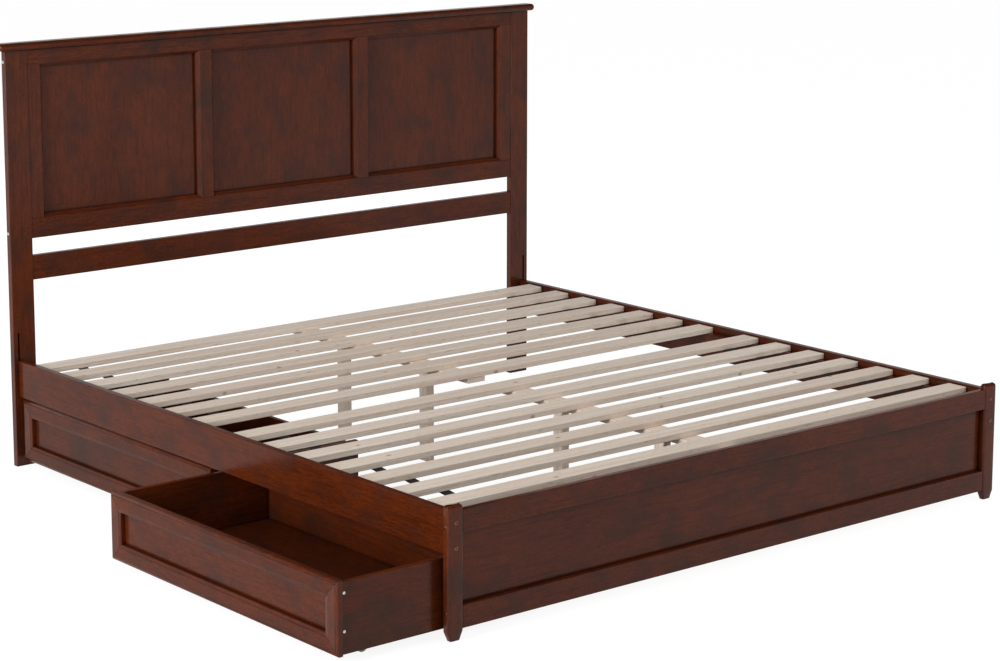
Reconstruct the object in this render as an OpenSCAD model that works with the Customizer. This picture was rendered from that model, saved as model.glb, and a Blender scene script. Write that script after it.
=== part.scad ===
// Platform bed for a king mattress, with two drawers on casters under its left side.
// X runs across the bed, +Y runs to the head, +Z is up.
// The origin is on the floor, under the middle of the second centre leg from the foot.
// The foot-end drawer stands part open, the head-end drawer is shut.

/* [Sleeping area] */
// Clear width between the side rails
inner_w = 1944; // [1640:2:1960]
// Clear length between the foot posts and the head posts
inner_l = 2064; // [2048:2:2120]

/* [Headboard] */
// Overall height of the bed
head_h = 1280; // [1180:5:1350]
// Thickness of the bullnosed cap
cap_t = 23; // [18:1:28]
// Overhang of the cap in front of and behind the posts
cap_over_y = 14.5; // [10:0.5:20]
// Overhang of the cap past the posts' outer faces
cap_over_x = 22; // [15:1:30]
// Width of a head post
head_post_w = 74; // [60:1:90]
// Thickness of a head post
head_post_t = 22; // [20:1:40]
// Thickness of the rails, stiles and muntins
head_frame_t = 20; // [16:1:22]
// Height of the top rail
head_top_rail_h = 43; // [33:1:60]
// Underside of the rail below the panels
head_bottom_rail_z = 691; // [660:1:720]
// Height of the rail below the panels
head_bottom_rail_h = 60; // [50:1:80]
// Underside of the separate lower rail
head_lower_rail_z = 565; // [540:1:570]
// Height of the separate lower rail
head_lower_rail_h = 74; // [60:1:80]
// Width of the flat face of a stile or muntin between the panels
stile_w = 42; // [34:1:60]
// Width and depth of the bevel round each panel
head_bevel = 10; // [4:1:14]
// Thickness of a headboard panel
head_panel_t = 5; // [3:0.5:8]
// How far the headboard and footboard panels lap onto the backs of their frames
panel_lap = 12; // [8:1:16]
// Height of the top of the slot that takes the side rail's tongue
post_slot_top = 410; // [340:5:450]

/* [Footboard] */
// Height of a foot post
foot_post_h = 341; // [335:1:370]
// Width of a foot post
foot_post_w = 47; // [44:1:60]
// Thickness of a foot post
foot_post_t = 18; // [17:1:30]
// Radius of a foot post's upright edges
foot_post_r = 8; // [4:0.5:8]
// Height of the taper at the bottom of a foot post
foot_taper_h = 25; // [15:1:27]
// Inset of the taper on each side
foot_taper_in = 10; // [5:1:14]
// Thickness of the footboard rails
foot_rail_t = 17; // [12:0.5:17]
// Underside of the footboard's top rail
foot_top_rail_z = 269; // [260:1:275]
// Height of the footboard's top rail
foot_top_rail_h = 58; // [50:1:60]
// Underside of the footboard's bottom rail
foot_bottom_rail_z = 28; // [28:1:40]
// Height of the footboard's bottom rail
foot_bottom_rail_h = 59; // [50:1:70]
// Thickness of the footboard panel
foot_panel_t = 4; // [3:0.5:6]

/* [Side rails] */
// Thickness of a side rail
rail_t = 20; // [18:1:22]
// Underside of a side rail
rail_z = 213.5; // [212:0.5:220]
// Height of a side rail
rail_h = 111.5; // [100:0.5:112]
// Inset of a side rail's outer face from the posts' outer faces
rail_inset = 14; // [10:1:14]
// Width and height of the ledger that carries the slats
ledger_s = 30; // [20:1:35]

/* [Slats] */
// Number of slats in each of the two rolls
slat_count = 7; // [5:1:8]
// Width of a slat
slat_w = 65; // [50:1:70]
// Thickness of a slat
slat_t = 17; // [12:1:20]
// Height of the top of the slats
slat_top = 319; // [310:1:322]
// Distance from one slat to the next
slat_pitch = 140; // [100:1:142]
// Gap between the two rolls
roll_gap = 137; // [100:1:160]
// Distance from the foot posts to the first slat
first_slat = 62.5; // [40:0.5:80]
// Width of a webbing strap
strap_w = 32; // [20:1:40]
// Thickness of a webbing strap
strap_t = 1.2; // [0.8:0.1:2]
// Distance of the straps from the bed's centre line
strap_x = 840; // [500:1:900]

/* [Centre support] */
// Width of the centre board under the slats
beam_w = 64; // [50:1:90]
// Thickness of the centre board
beam_t = 16; // [12:1:25]
// Size of a centre leg across the bed
leg_x = 28; // [20:1:45]
// Size of a centre leg along the bed
leg_y = 38; // [30:1:50]
// Distance from the middle of the deck to the near legs
leg_near = 311; // [200:1:400]
// Distance from the middle of the deck to the far legs
leg_far = 731; // [600:1:850]

/* [Drawers] */
// How far the foot-end drawer stands open
foot_open = 323; // [0:1:480]
// Height of a drawer front
front_h = 187; // [180:1:188]
// Underside of a drawer front
front_z = 23; // [20:1:25]
// Thickness of a drawer front
front_t = 17; // [17:0.5:22]
// Gap from the foot posts to the first front
front_gap_foot = 12; // [10:1:20]
// Gap from the last front to the head posts
front_gap_head = 16; // [10:1:20]
// Gap between the two fronts
front_gap_mid = 16; // [6:1:20]
// Width of the frame's flat face with its moulded edges
frame_w = 50; // [45:1:55]
// How far the front's panel reaches behind its frame
front_panel_lap = 6; // [4:1:8]
// Depth of a drawer box from the front's back to the box's back
box_l = 490; // [400:5:500]
// Thickness of the box's sides, front and back
box_t = 15; // [12:1:18]
// Inset of the box from each end of the front
box_inset = 5.5; // [4:0.5:20]
// Underside of the box
box_z = 25; // [24:1:30]
// Top of the sides and of the box front
box_top = 204; // [190:1:205]
// Top of the box back
back_top = 191; // [180:1:200]
// Thickness of the drawer bottom
bottom_t = 6; // [3:0.5:8]
// Underside of the drawer bottom
bottom_z = 40; // [38:1:44]

/* [Casters] */
// Radius of a wheel
wheel_r = 17; // [14:0.5:17]
// Width of a wheel
wheel_w = 16; // [12:1:20]
// Distance from the front's face to the front pair of wheels
caster_front = 112; // [80:1:140]
// Distance from the box's back to the rear pair of wheels
caster_rear = 75; // [60:1:120]
// Distance from each end of the front to the wheels
caster_end = 59; // [55:1:90]

/* [Hidden] */
$fn = 64;
cut = 1;

// Colours of the finishes
walnut = "#4b2b22";
walnut_front = "#56332a";
walnut_box = "#3a1f17";
pine = "#cbbca4";
webbing = "#1d1c1c";
zinc = "#b9b9b6";
caster_grey = "#3b3b3d";
wheel_white = "#d8d5cd";

// Places across the bed
rail_in_x = inner_w / 2;
rail_out_x = rail_in_x + rail_t;
post_out_x = rail_out_x + rail_inset;
head_in_x = post_out_x - head_post_w;
foot_in_x = post_out_x - foot_post_w;
slat_end_x = rail_in_x - 2;

// Places along the bed, worked back from the origin's leg
roll_l = (slat_count - 1) * slat_pitch + slat_w;
rail_y = leg_near - roll_gap / 2 - roll_l - first_slat;
foot_y = rail_y - foot_post_t;
head_y = rail_y + inner_l;
roll_y = [rail_y + first_slat, leg_near + roll_gap / 2];
head_frame_y = head_y + head_post_t - head_frame_t;
head_back_y = head_y + head_post_t;
foot_rail_y = rail_y - foot_rail_t;

// Heights
cap_z = head_h - cap_t;
head_top_rail_z = cap_z - head_top_rail_h;
head_open_z = head_bottom_rail_z + head_bottom_rail_h;
foot_open_z = foot_bottom_rail_z + foot_bottom_rail_h;
deck_z = slat_top - slat_t;
beam_z = deck_z - beam_t;
head_open_w = (2 * head_in_x - 4 * stile_w) / 3;
head_open_h = head_top_rail_z - head_open_z;

// Edge radius of the boards, and how far a bevelled edge laps over a board's rounded edge
ease = 1.5;
edge_lap = 3;

// Slot in a head post, and the tongue on the rail that seats in it
slot_w = 6;
slot_d = 10;
slot_z = 238;
tongue_w = slot_w - 0.4;
tongue_d = slot_d - 1;
tongue_z = slot_z + 2;
tongue_h = 80;
slot_x = rail_out_x - slot_w;

// Bolts through the foot posts into the side rails
bolt_r = 3;
bolt_l = 60;
bolt_head_r = 5.5;
bolt_head_h = 2.5;
bolt_z = [234, 298];
bolt_x = rail_in_x + rail_t / 2;
bore_gap = 0.2;

// Screws through the posts' outer faces into the ends of the rails between the posts
screw_r = 2.5;
screw_grip = 36;
screw_head_r = 5;
screw_head_h = 1.8;
head_screw_z = [712, 1225];
foot_screw_z = [73, 287];
head_screw_y = head_frame_y + head_frame_t / 2;
foot_screw_y = foot_y + 10;

// Drawer places, in the drawer's own frame: X from the face plane into the bed,
// Y from the foot end of the front, Z from the floor
front_l = (inner_l - front_gap_foot - front_gap_mid - front_gap_head) / 2;
front_y = [rail_y + front_gap_foot, rail_y + front_gap_foot + front_l + front_gap_mid];
front_x = [-rail_out_x - foot_open, -rail_out_x];
box_end = front_t + box_l;
back_x = box_end - box_t;
side_in = box_inset + box_t;
groove = 6;

// Section of the drawer front's frame
thumb_w = 9;
thumb_d = 5;
thumb_step = 0.8;
thumb_r = (thumb_w * thumb_w + pow(thumb_d - thumb_step, 2)) / (2 * (thumb_d - thumb_step));
lip_u = 40;
lip_step = 0.8;
lip_d = 2.4;
wall_u = 0.6;
front_panel_t = 3;
panel_d = front_t - front_panel_t;
rebate_u = frame_w - front_panel_lap;
section_w = frame_w + wall_u;

// Casters
axle_r = 2.5;
wheel_bore_r = axle_r + 0.1;
plate_t = 2;
plate_l = 44;
plate_w = 34;
cheek_t = 2;
cheek_gap = wheel_w + 2;
cheek_w = 30;
cheek_r = 6;
caster_xs = [caster_front, box_end - caster_rear];
caster_ys = [caster_end, front_l - caster_end];

// ---- Shared shapes ----

// A rectangle from the corner, with its corners rounded
module eased_rect(w, h, r) {
    translate([r, 0]) square([w - 2 * r, h]);
    translate([0, r]) square([w, h - 2 * r]);
    for (x = [r, w - r], y = [r, h - r]) translate([x, y]) circle(r);
}

// A board between two corners, its four edges along X rounded
module board_x(low, high, r = ease) {
    size = high - low;
    translate(low) rotate([90, 0, 90]) linear_extrude(size.x) eased_rect(size.y, size.z, r);
}

// A board between two corners, its four edges along Y rounded
module board_y(low, high, r = ease) {
    size = high - low;
    translate([low.x, high.y, low.z])
        rotate([90, 0, 0]) linear_extrude(size.y) eased_rect(size.x, size.z, r);
}

// A board between two corners, its four edges along Z rounded
module board_z(low, high, r = ease) {
    size = high - low;
    translate(low) linear_extrude(size.z) eased_rect(size.x, size.y, r);
}

// One mitred side of a frame about the origin, with its depth along X: the section in the
// child runs l long, and from its edge at height h the mitres close in over the width w.
// It may reach past that edge, straight up, by over.
module mitred_side(l, h, w, t, over = 0) {
    lap = over > 0 ? [[-l / 2, h + over], [l / 2, h + over]] : [];
    intersection() {
        translate([0, l / 2, h]) rotate([90, 0, 0]) linear_extrude(l) children();
        rotate([90, 0, 90]) linear_extrude(t) polygon(concat(lap, [
            [l / 2, h], [l / 2 - w, h - w], [-l / 2 + w, h - w], [-l / 2, h]
        ]));
    }
}

// The same piece on the right side of the bed (side 1) or the left (side -1)
module on_side(side) {
    if (side > 0) children();
    else mirror([1, 0, 0]) children();
}

// ---- Headboard ----

// The post of the right side, with a slot for the side rail's tongue
module headboard_post(side) {
    color(walnut) on_side(side) difference() {
        board_z([head_in_x, head_y, 0], [post_out_x, head_back_y, cap_z]);
        translate([slot_x, head_y - cut, slot_z])
            cube([slot_w, slot_d + cut, post_slot_top - slot_z]);
        post_screw_bores(head_screw_y, head_screw_z);
    }
}

// A flat cap with a half-round edge on all four sides
module headboard_cap() {
    r = cap_t / 2;
    half = post_out_x + cap_over_x - r;
    y0 = head_y - cap_over_y + r;
    y1 = head_back_y + cap_over_y - r;
    color(walnut) translate([0, 0, cap_z + r]) union() {
        translate([-half, y0, -r]) cube([2 * half, y1 - y0, cap_t]);
        for (y = [y0, y1]) {
            translate([-half, y, 0]) rotate([0, 90, 0]) cylinder(h = 2 * half, r = r);
            for (x = [-half, half]) translate([x, y, 0]) sphere(r);
        }
        for (x = [-half, half])
            translate([x, y1, 0]) rotate([90, 0, 0]) cylinder(h = y1 - y0, r = r);
    }
}

// Section of the bevelled edge round a panel, with depth along X and the opening below it
module head_edge_section() {
    b = head_bevel;
    polygon([
        [0, edge_lap], [head_frame_t, edge_lap], [head_frame_t, -b], [b, -b], [0, 0]
    ]);
}

// One side of the bevelled edge of the opening at place -1, 0 or 1;
// turn is 0 at the top, 90 on the right, 180 at the bottom and -90 on the left
module head_edge(place, turn) {
    upright = abs(turn) == 90;
    l = upright ? head_open_h : head_open_w;
    h = (upright ? head_open_w : head_open_h) / 2;
    translate([place * (head_open_w + stile_w), head_frame_y, head_open_z + head_open_h / 2])
        rotate([0, 0, 90]) rotate([turn, 0, 0])
            mitred_side(l, h, head_bevel, head_frame_t, edge_lap) head_edge_section();
}

// A rail between the posts, from height z up
module headboard_rail(z, h) {
    color(walnut)
        board_x([-head_in_x, head_frame_y, z], [head_in_x, head_back_y, z + h]);
}

// The rails above and below the panels carry bevelled edges and the post screws
module panelled_headboard_rail(z, h, turn) {
    color(walnut) difference() {
        union() {
            headboard_rail(z, h);
            for (place = [-1, 0, 1]) head_edge(place, turn);
        }
        for (side = [-1, 1]) on_side(side) post_screw_bores(head_screw_y, head_screw_z);
    }
}

// An upright of the panel frame, numbered 0 to 3 from the left
module headboard_upright(i) {
    x = i * (head_open_w + stile_w) - head_in_x;
    color(walnut) union() {
        board_z([x, head_frame_y, head_open_z], [x + stile_w, head_back_y, head_top_rail_z]);
        if (i > 0) head_edge(i - 2, 90);
        if (i < 3) head_edge(i - 1, -90);
    }
}

// A thin panel lapped onto the back of the frame; place is -1, 0 or 1
module headboard_panel(place) {
    inset = head_bevel - panel_lap;
    x = place * (head_open_w + stile_w) - head_open_w / 2 + inset;
    color(walnut) translate([x, head_back_y, head_open_z + inset])
        cube([head_open_w - 2 * inset, head_panel_t, head_open_h - 2 * inset]);
}

// ---- Footboard ----

// Front outline of a foot post: tapered foot, rounded top corners
module foot_post_outline() {
    r = foot_post_r;
    polygon([
        [foot_taper_in, 0], [foot_post_w - foot_taper_in, 0], [foot_post_w, foot_taper_h],
        [foot_post_w, foot_post_h - r], [foot_post_w - r, foot_post_h - r],
        [foot_post_w - r, foot_post_h], [r, foot_post_h], [r, foot_post_h - r],
        [0, foot_post_h - r], [0, foot_taper_h]
    ]);
    for (x = [r, foot_post_w - r]) translate([x, foot_post_h - r]) circle(r);
}

// Side outline of a foot post: a slight taper in, rounded top edges
module foot_post_side() {
    r = foot_post_r;
    t = foot_post_t;
    bevel = 3;
    polygon([
        [bevel, 0], [t - bevel, 0], [t, foot_taper_h], [t, foot_post_h - r],
        [t - r, foot_post_h - r], [t - r, foot_post_h], [r, foot_post_h],
        [r, foot_post_h - r], [0, foot_post_h - r], [0, foot_taper_h]
    ]);
    for (y = [r, t - r]) translate([y, foot_post_h - r]) circle(r);
}

// The post of the right side: plan, front and side outlines meet in one solid
module footboard_post(side) {
    color(walnut) on_side(side) difference() {
        translate([foot_in_x, foot_y, 0]) intersection() {
            linear_extrude(foot_post_h) eased_rect(foot_post_w, foot_post_t, foot_post_r);
            translate([0, foot_post_t, 0])
                rotate([90, 0, 0]) linear_extrude(foot_post_t) foot_post_outline();
            rotate([90, 0, 90]) linear_extrude(foot_post_w) foot_post_side();
        }
        rail_bolt_bores();
        post_screw_bores(foot_screw_y, foot_screw_z);
    }
}

// A rail between the foot posts, from height z up
module footboard_rail(z, h) {
    color(walnut) difference() {
        board_x([-foot_in_x, foot_rail_y, z], [foot_in_x, rail_y, z + h], 2);
        for (side = [-1, 1]) on_side(side) post_screw_bores(foot_screw_y, foot_screw_z);
    }
}

// A thin panel behind the footboard's rails and posts
module footboard_panel() {
    half = rail_in_x - 4;
    z = foot_open_z - panel_lap;
    color(walnut) translate([-half, rail_y, z])
        cube([2 * half, foot_panel_t, foot_top_rail_z - foot_open_z + 2 * panel_lap]);
}

// ---- Side rails ----

// The right side rail: bored for its bolts, with a tongue for the head post's slot
module side_rail(side) {
    tongue_x = slot_x + (slot_w - tongue_w) / 2;
    color(walnut) on_side(side) difference() {
        union() {
            board_y([rail_in_x, rail_y, rail_z], [rail_out_x, head_y, rail_z + rail_h]);
            translate([tongue_x, head_y - cut, tongue_z])
                cube([tongue_w, tongue_d + cut, tongue_h]);
        }
        rail_bolt_bores();
    }
}

// The strip on a rail's inner face that carries the slats' ends
module slat_ledger(side) {
    end_gap = 2;
    color(walnut) on_side(side)
        board_y([rail_in_x - ledger_s, rail_y + foot_panel_t + end_gap, deck_z - ledger_s],
            [rail_in_x, head_y - end_gap, deck_z]);
}

// ---- Slats and centre support ----

// One roll of slats; half is 0 at the foot and 1 at the head
module slat_roll(half) {
    color(pine) for (i = [0 : slat_count - 1]) {
        y = roll_y[half] + i * slat_pitch;
        board_x([-slat_end_x, y, deck_z], [slat_end_x, y + slat_w, slat_top], 2);
    }
}

// Two straps under each roll
module slat_webbing() {
    color(webbing) for (y = roll_y, side = [-1, 1])
        translate([side * strap_x - strap_w / 2, y, deck_z - strap_t])
            cube([strap_w, roll_l, strap_t]);
}

// Half of the centre board; half is 0 at the foot and 1 at the head
module centre_beam(half) {
    past_slat = 3;
    end_gap = 2;
    y0 = half == 0 ? rail_y + foot_panel_t + end_gap : roll_y[1] + past_slat;
    y1 = half == 0 ? roll_y[0] + roll_l - past_slat : head_y - end_gap;
    color(pine) board_y([-beam_w / 2, y0, beam_z], [beam_w / 2, y1, deck_z]);
}

// Two legs under each half of the centre board
module centre_legs() {
    color(pine) for (off = [-leg_far, -leg_near, leg_near, leg_far]) {
        y = leg_near + off - leg_y / 2;
        board_z([-leg_x / 2, y, 0], [leg_x / 2, y + leg_y, beam_z], 2);
    }
}

// ---- Fasteners ----

// Bores for the right side rail's two bolts
module rail_bolt_bores() {
    for (z = bolt_z) translate([bolt_x, rail_y + bolt_l - foot_post_t + 2, z])
        rotate([90, 0, 0]) cylinder(h = bolt_l + 2 + cut, r = bolt_r + bore_gap);
}

// Bolts with low round heads on the front of the foot posts
module rail_bolts() {
    color(zinc) for (x = [-bolt_x, bolt_x], z = bolt_z) translate([x, foot_y, z]) {
        rotate([90, 0, 0]) cylinder(h = bolt_head_h, r = bolt_head_r);
        translate([0, bolt_l, 0]) rotate([90, 0, 0]) cylinder(h = bolt_l + cut, r = bolt_r);
    }
}

// Bores of the right side's post screws, at one Y and a list of heights
module post_screw_bores(y, zs) {
    l = head_post_w + screw_grip + 2;
    for (z = zs) translate([post_out_x - l, y, z])
        rotate([0, 90, 0]) cylinder(h = l + cut, r = screw_r + bore_gap);
}

// One screw on the right side, its head on the post's outer face
module post_screw(y, z, l) {
    translate([post_out_x, y, z]) rotate([0, 90, 0]) cylinder(h = screw_head_h, r = screw_head_r);
    translate([post_out_x - l, y, z]) rotate([0, 90, 0]) cylinder(h = l + cut, r = screw_r);
}

// The screws of all four posts
module post_screws() {
    color(zinc) for (side = [-1, 1]) on_side(side) {
        for (z = head_screw_z) post_screw(head_screw_y, z, head_post_w + screw_grip);
        for (z = foot_screw_z) post_screw(foot_screw_y, z, foot_post_w + screw_grip);
    }
}

// ---- Drawers: d is 0 for the foot-end drawer and 1 for the head-end one ----

// Sets a piece down in its drawer
module in_drawer(d) {
    translate([front_x[d], front_y[d], 0]) children();
}

// Section of the front's frame: depth along X, the outer edge at the top
module frame_section() {
    difference() {
        polygon([
            [0, 0], [front_t, 0], [front_t, -rebate_u], [panel_d, -rebate_u],
            [panel_d, -section_w], [lip_d, -frame_w], [lip_step, -lip_u - lip_step], [0, -lip_u]
        ]);
        difference() {
            translate([-cut, -thumb_w]) square([thumb_d + 2 * cut, thumb_w + cut]);
            translate([thumb_step + thumb_r, -thumb_w]) circle(thumb_r, $fn = 128);
        }
    }
}

// One mitred side of the frame, with its outer edge h above the X axis
module frame_side(l, h) {
    mitred_side(l, h, section_w, front_t) frame_section();
}

// Turns a side of the frame about the middle of the front
module frame_turned(d, turn) {
    color(walnut_front) in_drawer(d)
        translate([0, front_l / 2, front_z + front_h / 2]) rotate([turn, 0, 0]) children();
}

module drawer_front_top(d) {
    frame_turned(d, 0) frame_side(front_l, front_h / 2);
}

module drawer_front_bottom(d) {
    frame_turned(d, 180) frame_side(front_l, front_h / 2);
}

module drawer_front_stile_foot(d) {
    frame_turned(d, 90) frame_side(front_h, front_l / 2);
}

module drawer_front_stile_head(d) {
    frame_turned(d, -90) frame_side(front_h, front_l / 2);
}

// The flat panel in the rebate behind the frame
module drawer_front_panel(d) {
    color(walnut_front) in_drawer(d) translate([panel_d, rebate_u, front_z + rebate_u])
        cube([front_panel_t, front_l - 2 * rebate_u, front_h - 2 * rebate_u]);
}

// The bottom, which is also the shape of the grooves that hold it
module bottom_shape() {
    x = front_t + box_t - groove;
    y = side_in - groove;
    translate([x, y, bottom_z]) cube([back_x + groove - x, front_l - 2 * y, bottom_t]);
}

// The inner front of the box, screwed between the sides
module drawer_box_front(d) {
    color(walnut_box) in_drawer(d) difference() {
        board_y([front_t, side_in, box_z], [front_t + box_t, front_l - side_in, box_top]);
        bottom_shape();
    }
}

// A side of the box, from y to y + box_t
module drawer_side(d, y) {
    color(walnut_box) in_drawer(d) difference() {
        board_x([front_t, y, box_z], [box_end, y + box_t, box_top]);
        bottom_shape();
    }
}

module drawer_side_foot(d) {
    drawer_side(d, box_inset);
}

module drawer_side_head(d) {
    drawer_side(d, front_l - side_in);
}

module drawer_back(d) {
    color(walnut_box) in_drawer(d) difference() {
        board_y([back_x, side_in, box_z], [box_end, front_l - side_in, back_top]);
        bottom_shape();
    }
}

module drawer_bottom(d) {
    color(walnut_box) in_drawer(d) bottom_shape();
}

// Outline of a caster's cheek: wide at the plate, round about the axle
module cheek_outline() {
    top = bottom_z - plate_t - wheel_r;
    polygon([
        [-cheek_w / 2, top], [cheek_w / 2, top], [cheek_w / 2, top - cheek_r],
        [cheek_r, 0], [-cheek_r, 0], [-cheek_w / 2, top - cheek_r]
    ]);
    circle(cheek_r);
}

// A plate, two cheeks and the axle between them, about the wheel's centre
module caster_housing() {
    top = bottom_z - wheel_r;
    translate([-plate_l / 2, -plate_w / 2, top - plate_t]) cube([plate_l, plate_w, plate_t]);
    for (y = [-cheek_gap / 2, cheek_gap / 2 + cheek_t])
        translate([0, y, 0]) rotate([90, 0, 0]) linear_extrude(cheek_t) cheek_outline();
    translate([0, cheek_gap / 2 + cut, 0])
        rotate([90, 0, 0]) cylinder(h = cheek_gap + 2 * cut, r = axle_r);
}

module drawer_casters(d) {
    color(caster_grey) in_drawer(d)
        for (x = caster_xs, y = caster_ys) translate([x, y, wheel_r]) caster_housing();
}

// A wheel on its axle; i and j pick the front or rear and the foot or head side
module drawer_wheel(d, i, j) {
    hub_r = 7;
    rim_r = 12;
    dish = 2;
    round_off = 1.5;
    w = wheel_w / 2;
    color(wheel_white) in_drawer(d) translate([caster_xs[i], caster_ys[j], wheel_r])
        rotate([90, 0, 0]) rotate_extrude() polygon([
            [wheel_bore_r, -w], [hub_r, -w], [hub_r, dish - w], [rim_r, dish - w],
            [rim_r, -w], [wheel_r - round_off, -w], [wheel_r, round_off - w],
            [wheel_r, w - round_off], [wheel_r - round_off, w], [rim_r, w],
            [rim_r, w - dish], [hub_r, w - dish], [hub_r, w], [wheel_bore_r, w]
        ]);
}

// ---- The bed ----

headboard_post(-1);  // headboard_post_left
headboard_post(1);  // headboard_post_right
headboard_cap();
panelled_headboard_rail(head_top_rail_z, head_top_rail_h, 0);  // headboard_top_rail
panelled_headboard_rail(head_bottom_rail_z, head_bottom_rail_h, 180);  // headboard_bottom_rail
headboard_rail(head_lower_rail_z, head_lower_rail_h);  // headboard_lower_rail
headboard_upright(0);  // headboard_stile_left
headboard_upright(3);  // headboard_stile_right
headboard_upright(1);  // headboard_muntin_left
headboard_upright(2);  // headboard_muntin_right
headboard_panel(-1);  // headboard_panel_left
headboard_panel(0);  // headboard_panel_middle
headboard_panel(1);  // headboard_panel_right
footboard_post(-1);  // footboard_post_left
footboard_post(1);  // footboard_post_right
footboard_rail(foot_top_rail_z, foot_top_rail_h);  // footboard_top_rail
footboard_rail(foot_bottom_rail_z, foot_bottom_rail_h);  // footboard_bottom_rail
footboard_panel();
side_rail(-1);  // side_rail_left
side_rail(1);  // side_rail_right
slat_ledger(-1);  // slat_ledger_left
slat_ledger(1);  // slat_ledger_right
slat_roll(0);  // slat_roll_foot
slat_roll(1);  // slat_roll_head
slat_webbing();
centre_beam(0);  // centre_beam_foot
centre_beam(1);  // centre_beam_head
centre_legs();
rail_bolts();
post_screws();
drawer_front_top(0);  // foot_drawer_front_top
drawer_front_bottom(0);  // foot_drawer_front_bottom
drawer_front_stile_foot(0);  // foot_drawer_front_stile_foot
drawer_front_stile_head(0);  // foot_drawer_front_stile_head
drawer_front_panel(0);  // foot_drawer_front_panel
drawer_box_front(0);  // foot_drawer_box_front
drawer_side_foot(0);  // foot_drawer_side_foot
drawer_side_head(0);  // foot_drawer_side_head
drawer_back(0);  // foot_drawer_back
drawer_bottom(0);  // foot_drawer_bottom
drawer_casters(0);  // foot_drawer_casters
drawer_wheel(0, 0, 0);  // foot_drawer_wheel_front_foot
drawer_wheel(0, 0, 1);  // foot_drawer_wheel_front_head
drawer_wheel(0, 1, 0);  // foot_drawer_wheel_rear_foot
drawer_wheel(0, 1, 1);  // foot_drawer_wheel_rear_head
drawer_front_top(1);  // head_drawer_front_top
drawer_front_bottom(1);  // head_drawer_front_bottom
drawer_front_stile_foot(1);  // head_drawer_front_stile_foot
drawer_front_stile_head(1);  // head_drawer_front_stile_head
drawer_front_panel(1);  // head_drawer_front_panel
drawer_box_front(1);  // head_drawer_box_front
drawer_side_foot(1);  // head_drawer_side_foot
drawer_side_head(1);  // head_drawer_side_head
drawer_back(1);  // head_drawer_back
drawer_bottom(1);  // head_drawer_bottom
drawer_casters(1);  // head_drawer_casters
drawer_wheel(1, 0, 0);  // head_drawer_wheel_front_foot
drawer_wheel(1, 0, 1);  // head_drawer_wheel_front_head
drawer_wheel(1, 1, 0);  // head_drawer_wheel_rear_foot
drawer_wheel(1, 1, 1);  // head_drawer_wheel_rear_head
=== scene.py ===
"""A platform bed with two storage drawers: its finishes, small parts and studio, over the fixed CAD frame."""

from math import pi, radians

import bmesh
import bpy
from mathutils import Matrix, Vector


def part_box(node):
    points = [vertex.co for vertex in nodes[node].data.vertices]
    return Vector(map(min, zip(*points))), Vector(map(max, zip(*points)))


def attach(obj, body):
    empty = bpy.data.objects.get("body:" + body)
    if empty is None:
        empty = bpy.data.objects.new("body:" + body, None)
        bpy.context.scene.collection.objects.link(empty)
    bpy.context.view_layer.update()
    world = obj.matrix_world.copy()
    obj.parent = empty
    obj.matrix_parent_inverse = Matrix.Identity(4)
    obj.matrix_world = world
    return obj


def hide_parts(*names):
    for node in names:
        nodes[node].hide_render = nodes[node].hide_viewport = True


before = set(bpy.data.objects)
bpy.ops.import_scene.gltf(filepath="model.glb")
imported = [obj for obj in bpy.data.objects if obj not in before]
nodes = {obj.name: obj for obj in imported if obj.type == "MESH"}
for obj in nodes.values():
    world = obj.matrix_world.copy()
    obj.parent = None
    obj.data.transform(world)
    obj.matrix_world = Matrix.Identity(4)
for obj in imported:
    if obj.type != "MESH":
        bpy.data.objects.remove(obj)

bl_info = {
    "name": "Platform bed with drawers",
    "version": (1, 0, 0),
    "blender": (4, 5, 0),
    "location": "View3D > Sidebar > Bed",
    "description": "Finishes, small parts and a studio for a platform bed with two storage drawers",
    "category": "Add Mesh",
}

MM = 0.001
X, Y, Z = 0, 1, 2
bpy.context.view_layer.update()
DRAWERS = ("foot_drawer", "head_drawer")
CORNERS = ("front_foot", "front_head", "rear_foot", "rear_head")

# Points closer than MERGE become one, and places closer than NEAR count as the same
MERGE = 0.01 * MM
NEAR = 0.05 * MM
# Edges that turn by more than this are eased
EASED_ANGLE = radians(40)
# Length of a strap's flat facets
STRAP_STEP = 8 * MM
# Rings of a domed head: radius and height as shares of its own
DOME = ((1.0, 0.45), (0.93, 0.8), (0.78, 1.0))
# A recess's floor: its width as a share of the mouth's, and its height as a share of the head's
RECESS_WIDTH, RECESS_HEIGHT = 0.7, 0.25
# How near a cross recess's inner corners are to its middle, as a share of its arms
CROSS_WAIST = 0.42
# The lacquer's IOR by the way that the grain lies; a lower one mirrors less of the pale floor
LACQUER_IOR = (1.26, 1.21, 1.28)
# Soft lights: where each stands, what it faces, its width in metres, and whether the lacquer mirrors it
LAMPS = {
    "key_light": ((-5.7, -0.5, 1.9), (0, 0.2, 0.3), 2.0, True),
    "fill_light": ((3.0, -5.0, 3.3), (0, 0, 0.4), 2.4, False),
    "back_light": ((2.4, 6.0, 1.7), (0, 1.4, 0.6), 2.4, False),
}
# Metres from the floor's middle to its edges
FLOOR_REACH = 30
# The floor as the camera and the lacquer see it: its own paleness and its glow
FLOOR_SEEN, FLOOR_GLOW = 0.18, 0.9
# What the lacquer mirrors of the surroundings: the horizon and overhead
HORIZON, OVERHEAD = 0.8, 0.04
# Where the horizon starts to fade and where overhead begins, as the sine of their height
HORIZON_TOP, OVERHEAD_FOOT = 0.05, 0.5


def linear(code):
    """A colour written #rrggbb, as the linear red, green and blue that Blender works in."""
    parts = [int(code[i:i + 2], 16) / 255 for i in (1, 3, 5)]
    return tuple(c / 12.92 if c <= 0.04045 else ((c + 0.055) / 1.055) ** 2.4 for c in parts)


def colour(label, code, words):
    """A colour property."""
    return bpy.props.FloatVectorProperty(
        name=label, description=words, default=linear(code), subtype="COLOR", min=0, max=1)


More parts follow.
